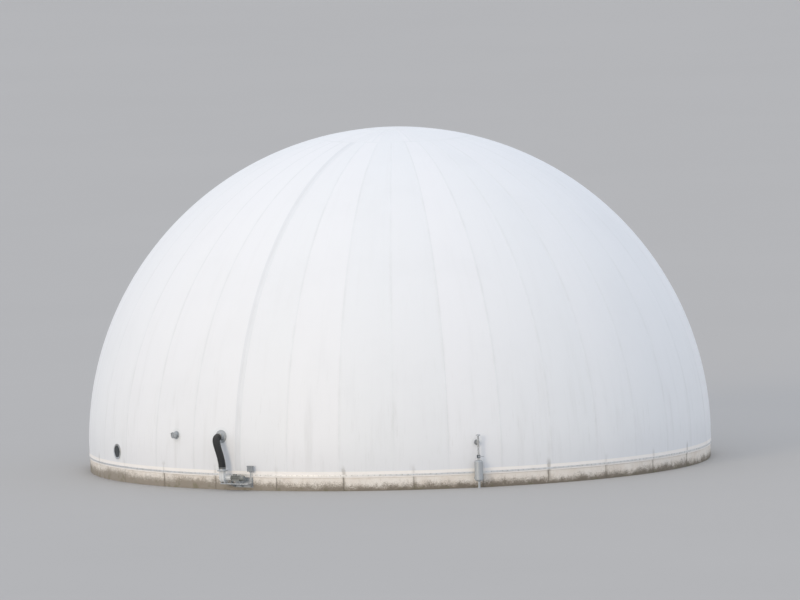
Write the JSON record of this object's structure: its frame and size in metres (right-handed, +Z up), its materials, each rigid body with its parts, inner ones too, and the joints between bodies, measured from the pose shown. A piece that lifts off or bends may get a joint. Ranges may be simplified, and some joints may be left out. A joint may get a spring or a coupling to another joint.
{
  "type": "biogas digester",
  "caption": "Round biogas digester: low precast concrete tank ring under a tall white air-held membrane roof, with support-air fan and hose, sight window and gas relief pot.",
  "frame": {"origin": "on the ground at the centre of the tank", "axes": "+Z up, the pictured side towards -Y, +X to the right of the picture"},
  "size_m": [27.998, 28.0221, 15.1704],
  "materials": {
    "concrete": "cast against forms, weathered",
    "membrane": "coated woven polyester, satin, weathered",
    "stainless": "stainless, dull",
    "galvanised": "hot-dip galvanised, dull",
    "fan_paint": "pale grey paint",
    "motor_paint": "stone-grey enamel",
    "valve_paint": "dull blue-grey enamel",
    "hose_rubber": "ribbed black rubber",
    "glass": "dark sight glass"
  },
  "bodies": {
    "root": {"wall_segment_01": "concrete", "wall_segment_02": "concrete", "wall_segment_03": "concrete", "wall_segment_04": "concrete", "wall_segment_05": "concrete", "wall_segment_06": "concrete", "wall_segment_07": "concrete", "wall_segment_08": "concrete", "wall_segment_09": "concrete", "wall_segment_10": "concrete", "wall_segment_11": "concrete", "wall_segment_12": "concrete", "wall_segment_13": "concrete", "wall_segment_14": "concrete", "clamp_rail_01": "stainless", "clamp_rail_02": "stainless", "clamp_rail_03": "stainless", "clamp_rail_04": "stainless", "clamp_rail_05": "stainless", "clamp_rail_06": "stainless", "clamp_rail_07": "stainless", "outer_membrane": "membrane", "apex_patch": "membrane", "inlet_collar": "galvanised", "air_hose": "hose_rubber", "flap_box": "galvanised", "fan_scroll": "fan_paint", "fan_inlet_guard": "galvanised", "fan_motor": "motor_paint", "fan_console": "galvanised", "fan_switch_box": "galvanised", "outlet_collar": "galvanised", "outlet_flap": "galvanised", "window_frame": "stainless", "window_glass": "glass", "gas_collar": "stainless", "gas_riser": "stainless", "relief_hat": "galvanised", "gas_valve": "valve_paint", "valve_lever": "galvanised", "relief_pot": "galvanised", "gas_foot_flange": "stainless", "pot_bracket": "galvanised"}
  },
  "joints": []
}
